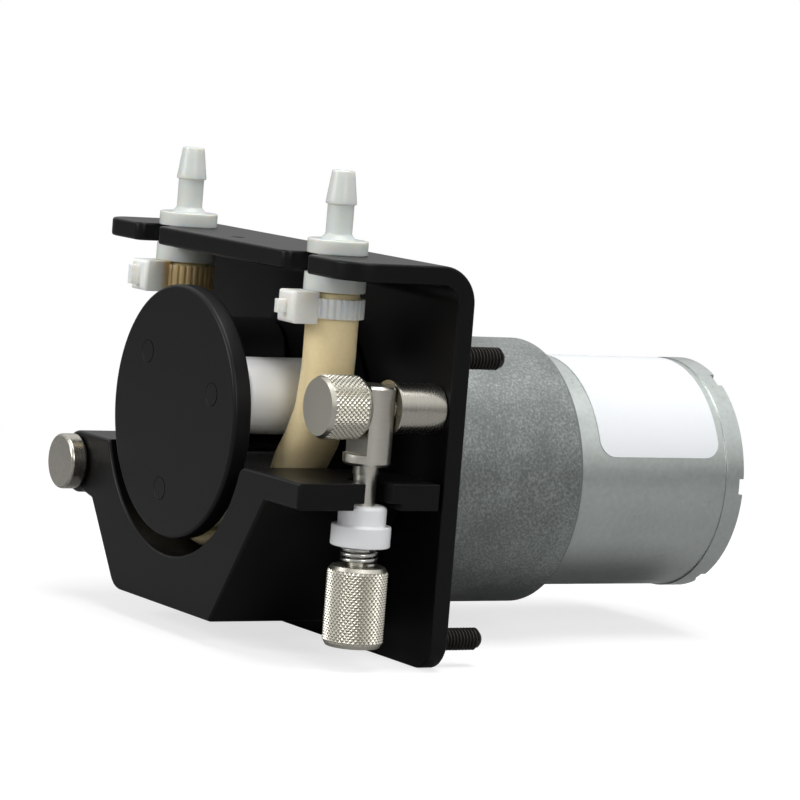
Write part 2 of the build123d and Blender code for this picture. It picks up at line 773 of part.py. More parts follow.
def motor_magnets():
    """The two arc magnets inside the can."""
    y0 = armature_middle_y - magnet_length / 2
    whole = ring(can_inner_radius, magnet_inner_radius, y0, y0 + magnet_length)
    solids = []
    for side in (0, 180):
        reach = 2 * can_radius
        half = magnet_span / 2
        wedge = make_face(Polyline((0, 0), polar(reach, side - half), polar(reach, side - half / 2),
                                   polar(reach, side), polar(reach, side + half / 2),
                                   polar(reach, side + half), close=True))
        solids.append(whole & front_view(wedge, y0 - 1, y0 + magnet_length + 1))
    return Pos(0, 0, motor_axis_z) * Compound(solids)


def winding_pocket(gap, start, end, pole):
    """The space between two poles of the armature, inset by a gap."""
    step = 360 / pole_count
    half = step / 2 - 11
    inner = 4.4 + gap
    outer = armature_radius - 1.6 - gap
    centre = step * (pole + 0.5)
    turn = math.degrees(gap / inner)
    points = [polar(inner, centre - half + turn), polar(outer, centre - half - 4 + turn / 2)]
    points += [polar(outer, centre), polar(outer, centre + half + 4 - turn / 2)]
    points += [polar(inner, centre + half - turn)]
    return front_view(make_face(Polyline(*points, close=True)), start, end)


def armature_core():
    """The slotted core of the armature."""
    y0 = armature_middle_y - armature_length / 2
    y1 = y0 + armature_length
    body = rod(armature_radius, y0, y1) - rod(motor_shaft_radius, y0 - 1, y1 + 1)
    for pole in range(pole_count):
        body -= winding_pocket(0, y0 - 1, y1 + 1, pole)
        mouth = Rot(0, -360 / pole_count * (pole + 0.5), 0)
        body -= mouth * block(armature_radius - 3, armature_radius + 1, y0 - 1, y1 + 1, -0.6, 0.6)
    return Pos(0, 0, motor_axis_z) * body


def armature_windings():
    """The coils in the armature's slots."""
    y0 = armature_middle_y - armature_length / 2 - 1.5
    y1 = y0 + armature_length + 3
    coils = [winding_pocket(0.1, y0, y1, pole) for pole in range(pole_count)]
    return Pos(0, 0, motor_axis_z) * Compound(coils)


def commutator():
    """The commutator drum."""
    y0 = commutator_back_y - commutator_length
    body = ring(commutator_radius, motor_shaft_radius, y0, commutator_back_y)
    for pole in range(pole_count):
        cut = block(commutator_radius - 0.5, commutator_radius + 1, y0 - 1,
                    commutator_back_y - 0.8, -0.15, 0.15)
        body -= Rot(0, 360 / pole_count * pole, 0) * cut
    return Pos(0, 0, motor_axis_z) * body


def brushes():
    """The two carbon brushes, one each side of the commutator."""
    near = commutator_radius + free_gap / 4
    solids = [
        block(min(side * near, side * (near + brush_length)),
              max(side * near, side * (near + brush_length)),
              commutator_back_y - brush_width, end_cap_front_y,
              motor_axis_z - brush_width / 2, motor_axis_z + brush_width / 2)
        for side in (-1, 1)
    ]
    return Compound(solids)


def end_cap():
    """The cap that closes the can, with a seat for the rear bearing."""
    z = motor_axis_z
    back = end_cap_front_y + end_cap_thickness
    body = rod(can_inner_radius, end_cap_front_y, back, 0, z)
    body += rod(motor_bearing_radius + 1.5, back, back + 1.2, 0, z)
    body -= rod(motor_bearing_radius, end_cap_front_y - 1, back + 3, 0, z)
    for side in (-1, 1):
        body -= terminal(side)
    return body


def terminal(side):
    """A flat solder tab through the end cap."""
    z = motor_axis_z + side * terminal_height
    return block(-terminal_width / 2, terminal_width / 2, end_cap_front_y,
                 motor_rear_y + terminal_length, z - terminal_thickness / 2,
                 z + terminal_thickness / 2)


def motor_bearing(start):
    """A plain bearing for the motor shaft."""
    return ring(motor_bearing_radius, motor_shaft_radius + running_fit, start,
                start + motor_bearing_length, 0, motor_axis_z)


def motor_label():
    """A blank sticker round the upper side of the can."""
    y0 = motor_front_y + label_start
    y1 = y0 + label_length
    skin = ring(can_radius + label_thickness, can_radius, y0, y1)
    reach = 2 * can_radius
    span = label_last_angle - label_first_angle
    points = [polar(reach, label_first_angle + span * i / 4) for i in range(5)]
    wedge = make_face(Polyline((0, 0), *points, close=True))
    skin = skin & front_view(wedge, y0 - 1, y1 + 1)
    inset = math.degrees(label_corner_radius / can_radius)
    for y, sy in ((y0, 1), (y1, -1)):
        for angle, turn in ((label_first_angle, 1), (label_last_angle, -1)):
            corner = label_corner(y + sy * label_corner_radius, sy, turn)
            skin -= Rot(0, -(angle + turn * inset), 0) * corner
    return Pos(0, 0, motor_axis_z) * skin


def label_corner(y, sy, turn):
    """What one rounded corner of the label leaves out, drawn at angle zero."""
    reach = label_corner_radius + 0.5
    cut = block(can_radius - 1.0, can_radius + 1.0, min(y, y - sy * reach), max(y, y - sy * reach),
                min(0, -turn * reach), max(0, -turn * reach))
    round_part = Pos(can_radius, y, 0) * Rot(0, 90, 0) * Cylinder(label_corner_radius, 4.0)
    return cut - round_part


def write_plate_group():
    """Plate, screws, fittings, tube and ties."""
    save(mounting_plate(), "mounting_plate")
    panel = [panel_stud(x, z) for x, z in panel_screw_places()]
    save(Compound(panel), "panel_screws")
    gearbox = [flush_screw(x, z, gearbox_screw_reach) for x, z in gearbox_screw_places()]
    save(Compound(gearbox), "gearbox_screws")
    save(fitting(-fitting_x), "inlet_fitting")
    save(fitting(fitting_x), "outlet_fitting")
    save(pump_tube(), "pump_tube")
    save(cable_tie(-fitting_x, tie_left_height), "inlet_tie")
    save(cable_tie(fitting_x, tie_right_height), "outlet_tie")


def write_rotor_group():
    """Rotor, rollers and output shaft."""
    save(rotor_body(), "rotor_body")
    save(front_disc(), "rotor_front_disc")
    places = roller_places()
    pins = [rod(roller_pin_radius, rotor_front_y, rear_disc_back_y, x, z) for x, z in places]
    save(Compound(pins), "roller_pins")
    for i, (x, z) in enumerate(places):
        save(roller(x, z), "roller_" + str(i + 1))
    grub = upright(screw_radius, output_shaft_flat, output_shaft_flat + grub_length, 0, grub_y)
    save(grub, "rotor_grub_screw")
    save(output_shaft(), "output_shaft")
    save(shaft_clip(), "shaft_clip")


def write_clamp_group():
    """Jaw, pivot and swing bolt."""
    save(jaw(), "pressure_jaw")
    save(ring(pivot_bush_radius, pivot_pin_radius + running_fit, jaw_front_y, jaw_back_y, pivot_x,
              pivot_z), "jaw_bush")
    save(pivot_pin(), "pivot_pin")
    save(clamp_post(), "clamp_post")
    save(ring(post_washer_radius, post_journal_radius, washer_front_y, post_front_y, bolt_x,
              post_z), "post_washer")
    save(thumb_screw(), "thumb_screw")
    save(eye_bolt(), "eye_bolt")
    save(spring_seat(), "spring_seat")
    save(clamp_spring(), "clamp_spring")
    save(clamp_nut(), "clamp_nut")


def write_gearbox_group():
    """Gearbox and its train."""
    first, second = idler_places()
    save(gearbox_cover(), "gearbox_cover")
    save(gearbox_housing(), "gearbox_housing")
    save(ring(bushing_radius, output_shaft_radius + running_fit, plate_front_y,
              gearbox_cover_thickness + boss_inner_length), "output_bushing")
    save(motor_pinion(), "motor_pinion")
    save(idler(first, (0, motor_axis_z), second, motor_mesh_y, middle_mesh_y), "idler_gear_1")
    save(idler(second, first, (0, 0), middle_mesh_y, output_mesh_y), "idler_gear_2")
    save(output_gear(), "output_gear")
    pins = [
        rod(gear_pin_radius, gearbox_cover_thickness - pin_seat_depth,
            gearbox_rear_y + pin_seat_depth, x, z)
        for x, z in (first, second)
    ]
    save(Compound(pins), "gear_pins")


def write_motor_group():
    """Motor."""
    save(motor_can(), "motor_can")
    save(Compound([motor_screw(-1), motor_screw(1)]), "motor_screws")
    save(motor_magnets(), "motor_magnets")
    save(rod(motor_shaft_radius, motor_mesh_y - 0.5, motor_rear_y, 0, motor_axis_z), "motor_shaft")
    save(armature_core(), "armature_core")
    save(armature_windings(), "armature_windings")
    save(commutator(), "commutator")
    save(brushes(), "motor_brushes")
    save(end_cap(), "motor_end_cap")
    save(Compound([terminal(-1), terminal(1)]), "motor_terminals")
    front = motor_front_y - gearbox_rear_wall / 2
    save(motor_bearing(front), "front_bearing")
    save(motor_bearing(end_cap_front_y), "rear_bearing")
    save(motor_label(), "motor_label")


os.makedirs("parts", exist_ok=True)
write_plate_group()
write_rotor_group()
write_clamp_group()
write_gearbox_group()
write_motor_group()
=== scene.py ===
"""Looks of a panel-mounted peristaltic pump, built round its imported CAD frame."""

import json
import logging
import math
from dataclasses import dataclass, field
from enum import Enum

import bmesh
import bpy
from mathutils import Matrix, Vector

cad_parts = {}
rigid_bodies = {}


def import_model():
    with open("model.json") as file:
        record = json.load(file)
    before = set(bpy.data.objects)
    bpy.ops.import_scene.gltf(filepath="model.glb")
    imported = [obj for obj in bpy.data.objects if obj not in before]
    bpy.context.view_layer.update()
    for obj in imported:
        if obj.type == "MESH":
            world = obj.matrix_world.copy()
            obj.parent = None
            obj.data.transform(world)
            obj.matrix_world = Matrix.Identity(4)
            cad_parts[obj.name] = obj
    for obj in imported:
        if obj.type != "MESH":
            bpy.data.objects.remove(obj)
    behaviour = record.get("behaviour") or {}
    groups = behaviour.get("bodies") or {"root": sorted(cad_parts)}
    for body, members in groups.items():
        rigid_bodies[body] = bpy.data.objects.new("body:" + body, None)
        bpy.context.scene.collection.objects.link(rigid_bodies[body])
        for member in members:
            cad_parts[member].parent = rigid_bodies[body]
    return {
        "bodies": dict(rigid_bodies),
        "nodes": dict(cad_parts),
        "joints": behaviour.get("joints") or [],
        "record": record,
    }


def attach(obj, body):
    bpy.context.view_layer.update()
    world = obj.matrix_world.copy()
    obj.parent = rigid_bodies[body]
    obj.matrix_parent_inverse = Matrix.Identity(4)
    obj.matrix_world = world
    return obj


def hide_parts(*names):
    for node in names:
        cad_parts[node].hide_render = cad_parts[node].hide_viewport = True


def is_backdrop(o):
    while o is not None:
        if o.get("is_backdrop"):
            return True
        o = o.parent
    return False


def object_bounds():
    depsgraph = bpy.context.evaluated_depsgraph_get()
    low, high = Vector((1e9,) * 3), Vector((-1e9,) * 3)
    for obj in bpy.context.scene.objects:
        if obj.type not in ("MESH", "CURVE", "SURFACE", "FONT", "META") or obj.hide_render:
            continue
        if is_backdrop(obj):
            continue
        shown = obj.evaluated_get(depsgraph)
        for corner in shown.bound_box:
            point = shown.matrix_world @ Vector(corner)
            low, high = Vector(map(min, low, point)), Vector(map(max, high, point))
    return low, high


LOG = logging.getLogger("pump")
MM = 0.001
Colour = tuple[float, float, float, float]
Profile = list[tuple[float, float]]

# Materials.
PLASTIC_IOR = 1.46
COAT_ROUGHNESS = 0.12
SCATTER_DEPTH_MM = 1.2
BROAD_CELLS_PER_MM = 0.09
FINE_SHARE = 0.65
CAST_DARK_SPREADS = 1.9
CAST_SPARK_GAIN = 1.5
FADE_HALF_WIDTH_MM = 0.5
BAND_HALF_WIDTH_MM = 0.15
BAND_DARK_SHARE = 0.92

# Meshes. A turned profile starts and ends on a small disc round its axis.
AXIS_DISC_MM = 0.05
BEVEL_FROM_DEGREES = 34.0
SAME_POINT_MM = 0.002
FLAT_WITHIN_DEGREES = 0.6
SAME_ROW_MM = 0.02
SAME_SKIN_MM = 0.01


class Grain(Enum):
    """How a surface is textured."""

    SATIN = "satin"
    CAST = "cast"
    TURNED_ALONG_Y = "turned_along_y"
    TURNED_ALONG_Z = "turned_along_z"
    DRAWN = "drawn"
    MOULDED = "moulded"


STRETCH: dict[Grain, tuple[float, float, float]] = {
    Grain.SATIN: (1.0, 1.0, 1.0),
    Grain.CAST: (1.0, 1.0, 1.0),
    Grain.TURNED_ALONG_Y: (0.06, 1.0, 0.06),
    Grain.TURNED_ALONG_Z: (0.06, 0.06, 1.0),
    Grain.DRAWN: (1.0, 0.05, 1.0),
    Grain.MOULDED: (1.0, 1.0, 1.0),
}


@dataclass(frozen=True)
class Finish:
    """One finish: its colour, its gloss and the fine texture on it."""

    name: str
    slot: str
    colour: Colour
    roughness: float
    metallic: float = 0.0
    grain: Grain = Grain.SATIN
    grain_per_mm: float = 4.0
    relief: float = 0.02
    colour_spread: float = 0.06
    roughness_spread: float = 0.06
    transmission: float = 0.0
    scatter: float = 0.0
    specular: float = 0.5
    coat: float = 0.0

    def material(self) -> bpy.types.Material:
        """Make the finish as a node material, once.

        Returns:
            The material, shared by every piece that wears this finish.
        """
        found = bpy.data.materials.get(self.name)
        if found is not None:
            return found
        material = bpy.data.materials.new(self.name)
        material.use_nodes = True
        graph = Graph(material)
        shader = graph.shader
        shader.inputs["Metallic"].default_value = self.metallic
        shader.inputs["IOR"].default_value = PLASTIC_IOR
        shader.inputs["Specular IOR Level"].default_value = self.specular
        shader.inputs["Coat Weight"].default_value = self.coat
        shader.inputs["Coat Roughness"].default_value = COAT_ROUGHNESS
        shader.inputs["Transmission Weight"].default_value = self.transmission
        shader.inputs["Subsurface Weight"].default_value = self.scatter
        shader.inputs["Subsurface Radius"].default_value = (1.0, 0.8, 0.6)
        shader.inputs["Subsurface Scale"].default_value = SCATTER_DEPTH_MM * MM
        fine = graph.noise(self.grain_per_mm / MM, STRETCH[self.grain], 4.0)
        broad = graph.noise(BROAD_CELLS_PER_MM / MM, (1.0, 1.0, 1.0), 2.0)
        mixed = graph.math("MULTIPLY_ADD", fine, FINE_SHARE,
                           graph.math("MULTIPLY", broad, 1 - FINE_SHARE))
        self.dress(graph, mixed)
        graph.link(graph.bump(fine, self.relief), shader.inputs["Normal"])
        return material

    def dress(self, graph: "Graph", mixed: bpy.types.NodeSocket) -> None:
        """Link colour and roughness to the texture.

        Args:
            graph: The material's node graph.
            mixed: Fine and broad texture together, from 0 to 1.
        """
        low = tuple(c * (1 - self.colour_spread) for c in self.colour[:3])
        high = tuple(min(1.0, c * (1 + self.colour_spread)) for c in self.colour[:3])
        steps = [(0.3, low), (0.7, high)]
        if self.grain is Grain.CAST:
            dark = tuple(c * (1 - CAST_DARK_SPREADS * self.colour_spread) for c in self.colour[:3])
            spark = tuple(min(1.0, c * CAST_SPARK_GAIN) for c in self.colour[:3])
            steps = [(0.38, dark), (0.47, low), (0.56, high), (0.64, spark)]
        graph.link(graph.ramp(mixed, steps), graph.shader.inputs["Base Color"])
        rough = graph.math("MULTIPLY_ADD", mixed, 2 * self.roughness_spread,
                           self.roughness - self.roughness_spread)
        graph.link(rough, graph.shader.inputs["Roughness"])


@dataclass(frozen=True)
class TwoTone(Finish):
    """Milky nylon that shows the colour of what it is pulled tight over, except at its head."""

    head_colour: Colour = (0.88, 0.9, 0.86, 1)
    head_ends_at: float = -17.4

    def dress(self, graph: "Graph", mixed: bpy.types.NodeSocket) -> None:
        """Fade from the head's colour to the band's along Y.

        Args:
            graph: The material's node graph.
            mixed: Fine and broad texture together, from 0 to 1.
        """
        reach = graph.along("Y", self.head_ends_at - FADE_HALF_WIDTH_MM,
                            self.head_ends_at + FADE_HALF_WIDTH_MM)
        blended = graph.math("MULTIPLY_ADD", mixed, 0.1, reach)
        graph.link(graph.ramp(blended, [(0.1, self.head_colour[:3]), (0.95, self.colour[:3])]),
                   graph.shader.inputs["Base Color"])
        rough = graph.math("MULTIPLY_ADD", mixed, 2 * self.roughness_spread,
                           self.roughness - self.roughness_spread)
        graph.link(rough, graph.shader.inputs["Roughness"])


@dataclass(frozen=True)
class Banded(Finish):
    """Raw casting with a smoother, brighter trimmed band along its rear edge."""

    band_starts_at: float = 28.9
    band_lift: float = 1.35

    def dress(self, graph: "Graph", mixed: bpy.types.NodeSocket) -> None:
        """Lift the casting's colour and calm its grain in the band.

        Args:
            graph: The material's node graph.
            mixed: Fine and broad texture together, from 0 to 1.
        """
        Finish.dress(self, graph, mixed)
        band = graph.along("Y", self.band_starts_at - BAND_HALF_WIDTH_MM,
                           self.band_starts_at + BAND_HALF_WIDTH_MM)
        cast = graph.shader.inputs["Base Color"].links[0].from_socket
        bright = tuple(c * self.band_lift for c in self.colour[:3])
        shaded = tuple(c * BAND_DARK_SHARE for c in bright)
        trimmed = graph.ramp(mixed, [(0.3, shaded), (0.7, bright)])
        graph.link(graph.mix(band, cast, trimmed), graph.shader.inputs["Base Color"])


class Graph:
    """A small wrapper that adds and links nodes in one material."""

    def __init__(self, material: bpy.types.Material) -> None:
        """Start on a material's own tree."""
        self.tree = material.node_tree
        self.shader = self.tree.nodes["Principled BSDF"]
        self.place = self.tree.nodes.new("ShaderNodeTexCoord").outputs["Object"]

    def link(self, source: bpy.types.NodeSocket, target: bpy.types.NodeSocket) -> None:
        """Join an output to an input."""
        self.tree.links.new(source, target)

    def noise(self, scale: float, stretch: tuple[float, float, float],
              detail: float) -> bpy.types.NodeSocket:
        """Add noise on object coordinates.

        Args:
            scale: Cells per metre.
            stretch: Factor on each axis before the noise.
            detail: Octaves.

        Returns:
            The noise value.
        """
        mapping = self.tree.nodes.new("ShaderNodeMapping")
        mapping.inputs["Scale"].default_value = stretch
        self.link(self.place, mapping.inputs["Vector"])
        node = self.tree.nodes.new("ShaderNodeTexNoise")
        node.inputs["Scale"].default_value = scale
        node.inputs["Detail"].default_value = detail
        node.inputs["Roughness"].default_value = 0.6
        self.link(mapping.outputs["Vector"], node.inputs["Vector"])
        return node.outputs["Fac"]

    def math(self, kind: str, first: bpy.types.NodeSocket, second: float,
             third: bpy.types.NodeSocket | float | None = None) -> bpy.types.NodeSocket:
        """Add a maths node.

        Args:
            kind: The operation.
            first: The value it works on.
            second: A constant.
            third: A constant or a value, where the operation takes one.

        Returns:
            The result.
        """
        node = self.tree.nodes.new("ShaderNodeMath")
        node.operation = kind
        self.link(first, node.inputs[0])
        node.inputs[1].default_value = second
        if isinstance(third, bpy.types.NodeSocket):
            self.link(third, node.inputs[2])
        elif third is not None:
            node.inputs[2].default_value = third
        return node.outputs[0]

    def along(self, axis: str, start_mm: float, end_mm: float) -> bpy.types.NodeSocket:
        """Rise from 0 to 1 between two places on an axis of the part.

        Args:
            axis: X, Y or Z.
            start_mm: Where it is still 0.
            end_mm: Where it has reached 1.

        Returns:
            The value.
        """
        parts = self.tree.nodes.new("ShaderNodeSeparateXYZ")
        self.link(self.place, parts.inputs[0])
        rise = self.tree.nodes.new("ShaderNodeMapRange")
        rise.inputs["From Min"].default_value = start_mm * MM
        rise.inputs["From Max"].default_value = end_mm * MM
        self.link(parts.outputs[axis], rise.inputs["Value"])
        return rise.outputs["Result"]

    def mix(self, share: bpy.types.NodeSocket, first: bpy.types.NodeSocket,
            second: bpy.types.NodeSocket) -> bpy.types.NodeSocket:
        """Mix two colours.

        Args:
            share: How much of the second there is, from 0 to 1.
            first: The first colour.
            second: The second colour.

        Returns:
            The mixed colour.
        """
        node = self.tree.nodes.new("ShaderNodeMixRGB")
        self.link(share, node.inputs["Fac"])
        self.link(first, node.inputs["Color1"])
        self.link(second, node.inputs["Color2"])
        return node.outputs["Color"]

    def ramp(self, value: bpy.types.NodeSocket,
             steps: list[tuple[float, tuple[float, ...]]]) -> bpy.types.NodeSocket:
        """Turn a value into a colour.

        Args:
            value: From 0 to 1.
            steps: Places and colours along the ramp.

        Returns:
            The colour.
        """
        node = self.tree.nodes.new("ShaderNodeValToRGB")
        elements = node.color_ramp.elements
        while len(elements) < len(steps):
            elements.new(0.5)
        for element, (place, colour) in zip(elements, steps):
            element.position = place
            element.color = (*colour[:3], 1.0)
        self.link(value, node.inputs["Fac"])
        return node.outputs["Color"]

    def bump(self, height: bpy.types.NodeSocket, depth_mm: float) -> bpy.types.NodeSocket:
        """Turn a height into a normal.

        Args:
            height: From 0 to 1.
            depth_mm: How deep the relief is, in millimetres.

        Returns:
            The normal.
        """
        node = self.tree.nodes.new("ShaderNodeBump")
        node.inputs["Strength"].default_value = 0.6
        node.inputs["Distance"].default_value = depth_mm * MM
        self.link(height, node.inputs["Height"])
        return node.outputs["Normal"]


ANODISED = Finish("satin_black_anodising", "black_anodised", (0.0045, 0.0046, 0.0047, 1), 0.34,
                  grain_per_mm=9.0, relief=0.004, colour_spread=0.12, specular=0.16)
DISC_BLACK = Finish("fine_turned_black", "black_anodised", (0.0055, 0.0056, 0.0057, 1), 0.38,
                    grain_per_mm=7.0, relief=0.004, colour_spread=0.1, specular=0.18)
BLACK_OXIDE = Finish("oiled_black_oxide", "black_screw", (0.035, 0.031, 0.027, 1), 0.42,
                     metallic=0.6, grain_per_mm=6.0, relief=0.01)
NICKEL_Y = Finish("turned_nickel_across", "nickel", (0.46, 0.44, 0.39, 1), 0.27, metallic=1.0,
                  grain=Grain.TURNED_ALONG_Y, grain_per_mm=4.0, relief=0.0015)
NICKEL_Z = Finish("turned_nickel_upright", "nickel", (0.58, 0.56, 0.5, 1), 0.3, metallic=1.0,
                  grain=Grain.TURNED_ALONG_Z, grain_per_mm=5.0, relief=0.002)
KNURLED = Finish("knurled_nickel", "nickel", (0.54, 0.52, 0.45, 1), 0.33, metallic=1.0,
                 grain_per_mm=6.0, relief=0.006)
CAST_ZINC = Finish("raw_die_cast_zinc", "cast_zinc", (0.2, 0.215, 0.212, 1), 0.5, metallic=0.75,
                   grain=Grain.CAST, grain_per_mm=3.2, relief=0.05, colour_spread=0.16,
                   roughness_spread=0.12)
ZINC_CAN = Finish("drawn_zinc_plate", "motor_steel", (0.5, 0.535, 0.515, 1), 0.3, metallic=0.92,
                  grain=Grain.SATIN, grain_per_mm=1.4, relief=0.003, colour_spread=0.1,
                  roughness_spread=0.09)
STEEL = Finish("ground_steel", "steel", (0.55, 0.55, 0.54, 1), 0.25, metallic=1.0,
               grain=Grain.TURNED_ALONG_Y, grain_per_mm=8.0, relief=0.006)
NATURAL = Finish("milky_polypropylene", "natural_plastic", (0.76, 0.79, 0.76, 1), 0.24,
                 grain=Grain.MOULDED, grain_per_mm=0.9, relief=0.004, colour_spread=0.02,
                 transmission=0.12, scatter=0.9)
NYLON = Finish("milky_nylon", "tie_nylon", (0.9, 0.9, 0.84, 1), 0.3, grain=Grain.MOULDED,
               grain_per_mm=1.0, relief=0.004, colour_spread=0.03, transmission=0.1, scatter=0.8)
TIE_CREAM = TwoTone("nylon_over_cream_tube", "tie_nylon", (0.74, 0.55, 0.27, 1), 0.3,
                    grain=Grain.MOULDED, grain_per_mm=1.0, relief=0.004, colour_spread=0.05,
                    scatter=0.6, head_colour=(0.88, 0.9, 0.86, 1), head_ends_at=-17.4)
CAST_HOUSING = Banded("die_cast_zinc_with_trimmed_edge", "cast_zinc", (0.22, 0.24, 0.23, 1), 0.42,
                      metallic=0.75, grain=Grain.CAST, grain_per_mm=2.9, relief=0.03,
                      colour_spread=0.17, roughness_spread=0.16, band_starts_at=29.6,
                      band_lift=1.1)
TUBING = Finish("cream_pump_tubing", "tube_cream", (0.87, 0.72, 0.42, 1), 0.34,
                grain=Grain.MOULDED, grain_per_mm=1.6, relief=0.02, colour_spread=0.05,
                scatter=0.35)
ACETAL = Finish("white_acetal", "white_acetal", (0.84, 0.86, 0.87, 1), 0.3, grain_per_mm=3.0,
                relief=0.006, colour_spread=0.02, scatter=0.25)
# Painted shade: roller_2 sits in the dark behind the front disc, and this near-black colour stands
# in for that shade; the other rollers are white acetal.
ROLLER_PAINTED_SHADE = Finish("black_acetal", "black_acetal", (0.012, 0.012, 0.011, 1), 0.4,
                      grain_per_mm=3.0, relief=0.004, colour_spread=0.08, specular=0.3)
BRONZE = Finish("sintered_bronze", "bronze", (0.6, 0.4, 0.2, 1), 0.42, metallic=1.0,
                grain_per_mm=5.0, relief=0.02, colour_spread=0.12)
FERRITE = Finish("dark_ferrite", "magnet", (0.05, 0.05, 0.055, 1), 0.6, grain_per_mm=4.0,
                 relief=0.03, colour_spread=0.2)
COPPER = Finish("enamelled_copper", "copper", (0.68, 0.28, 0.14, 1), 0.28, metallic=1.0,
                grain=Grain.DRAWN, grain_per_mm=3.0, relief=0.08)
BLANK_LABEL = Finish("blank_white_label", "label_white", (0.86, 0.88, 0.9, 1), 0.32,
                     grain=Grain.MOULDED, grain_per_mm=2.5, relief=0.004, colour_spread=0.015)
CARBON = Finish("black_phenolic", "carbon", (0.02, 0.02, 0.021, 1), 0.45, grain_per_mm=3.0,
                relief=0.02, colour_spread=0.15)

CARRIED_OVER: dict[str, Finish] = {
    "mounting_plate": ANODISED, "panel_screws": BLACK_OXIDE, "gearbox_screws": BLACK_OXIDE,
    "inlet_fitting": NATURAL, "outlet_fitting": NATURAL, "pump_tube": TUBING,
    "inlet_tie": NYLON, "outlet_tie": NYLON, "rotor_body": ANODISED,
    "rotor_front_disc": DISC_BLACK, "roller_pins": DISC_BLACK, "roller_1": ACETAL,
    # roller_2 wears the near-black colour that is painted shade.
    "roller_2": ROLLER_PAINTED_SHADE, "roller_3": ACETAL, "rotor_grub_screw": BLACK_OXIDE,
    "output_shaft": STEEL, "shaft_clip": STEEL, "pressure_jaw": ANODISED, "jaw_bush": BRONZE,
    "pivot_pin": NICKEL_Y, "clamp_post": NICKEL_Y, "post_washer": NICKEL_Y,
    "thumb_screw": KNURLED, "eye_bolt": NICKEL_Z, "spring_seat": ACETAL,
    "clamp_spring": STEEL, "clamp_nut": KNURLED, "gearbox_cover": CAST_ZINC,
    "gearbox_housing": CAST_ZINC, "output_bushing": BRONZE, "motor_pinion": BRONZE,
    "idler_gear_1": STEEL, "idler_gear_2": STEEL, "output_gear": STEEL, "gear_pins": STEEL,
    "motor_can": ZINC_CAN, "motor_screws": STEEL, "motor_magnets": FERRITE,
    "motor_shaft": STEEL, "armature_core": STEEL, "armature_windings": COPPER,
    "commutator": COPPER, "motor_brushes": CARBON, "motor_end_cap": CARBON,
    "motor_terminals": NICKEL_Z, "front_bearing": BRONZE, "rear_bearing": BRONZE,
    "motor_label": BLANK_LABEL,
}


class Axis(Enum):
    """The way a turned piece points."""

    ALONG_Y = "along_y"
    UPRIGHT = "upright"

    def placing(self, centre: tuple[float, float, float]) -> Matrix:
        """Give the matrix that takes a piece turned on Z to its place.

        Args:
            centre: The middle of its low end, in millimetres.

        Returns:
            The placing matrix, in metres.
        """
        turn = Matrix.Rotation(-math.pi / 2, 4, "X") if self is Axis.ALONG_Y else Matrix()
        return Matrix.Translation(Vector(centre) * MM) @ turn


def select_vertices(piece: bpy.types.Object, wanted: set[int]) -> None:
    """Select some vertices of the piece in edit mode, and nothing else.

    Args:
        piece: The piece being edited.
        wanted: Indices of its vertices.
    """
    bpy.ops.mesh.select_mode(type="VERT")
    mesh = bmesh.from_edit_mesh(piece.data)
    for vertex in mesh.verts:
        vertex.select = vertex.index in wanted
    mesh.select_flush(True)
    bmesh.update_edit_mesh(piece.data)


def lathe(name: str, profile: Profile, sides: int) -> bpy.types.Object:
    """Turn a solid on Z, by pulling one disc up through the profile.

    Args:
        name: The piece's name.
        profile: Radius and height of each step, in millimetres, from the low end up.
        sides: How many sides the round has.

    Returns:
        The new piece, closed at both ends.
    """
    bpy.ops.object.select_all(action="DESELECT")
    radius, height = profile[0]
    bpy.ops.mesh.primitive_circle_add(vertices=sides, radius=radius * MM, fill_type="NGON",
                                      location=(0, 0, height * MM))
    piece = bpy.context.object
    piece.name = name
    bpy.ops.object.transform_apply(location=True, rotation=True, scale=True)
    bpy.ops.object.mode_set(mode="EDIT")
    bpy.ops.mesh.select_all(action="SELECT")
    for next_radius, next_height in profile[1:]:
        bpy.ops.mesh.extrude_region_move(
            TRANSFORM_OT_translate={"value": (0, 0, (next_height - height) * MM)})
        factor = next_radius / radius
        bpy.ops.transform.resize(value=(factor, factor, 1),
                                 center_override=(0, 0, next_height * MM))
        radius, height = next_radius, next_height
    bpy.ops.mesh.select_all(action="SELECT")
    bpy.ops.mesh.normals_make_consistent(inside=False)
    bpy.ops.object.mode_set(mode="OBJECT")
    return piece


def apply_modifiers(piece: bpy.types.Object) -> None:
    """Apply every modifier on the piece.

    Args:
        piece: The piece, which becomes the active object.
    """
    bpy.ops.object.select_all(action="DESELECT")
    bpy.context.view_layer.objects.active = piece
    piece.select_set(True)
    for modifier in list(piece.modifiers):
        bpy.ops.object.modifier_apply(modifier=modifier.name)


def dress_piece(piece: bpy.types.Object, finish: Finish, body: str, nodes: list[str],
                smooth_angle: float = 32.0) -> None:
    """Finish a piece: its material, its shading and the body that it rides on.

    Args:
        piece: The piece.
        finish: What it is made of.
        body: The CAD body that carries it.
        nodes: The CAD nodes that it stands for.
        smooth_angle: Edges flatter than this are shaded smooth, in degrees.
    """
    piece.data.materials.clear()
    piece.data.materials.append(finish.material())
    bpy.ops.object.select_all(action="DESELECT")
    bpy.context.view_layer.objects.active = piece
    piece.select_set(True)
    bpy.ops.object.shade_smooth_by_angle(angle=math.radians(smooth_angle))
    level = piece.modifiers.new("flat_faces_stay_flat", "WEIGHTED_NORMAL")
    level.keep_sharp = True
    level.weight = 90
    apply_modifiers(piece)
    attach(piece, body)
    if nodes:
        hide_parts(*nodes)
    LOG.info("built %s with %d faces", piece.name, len(piece.data.polygons))


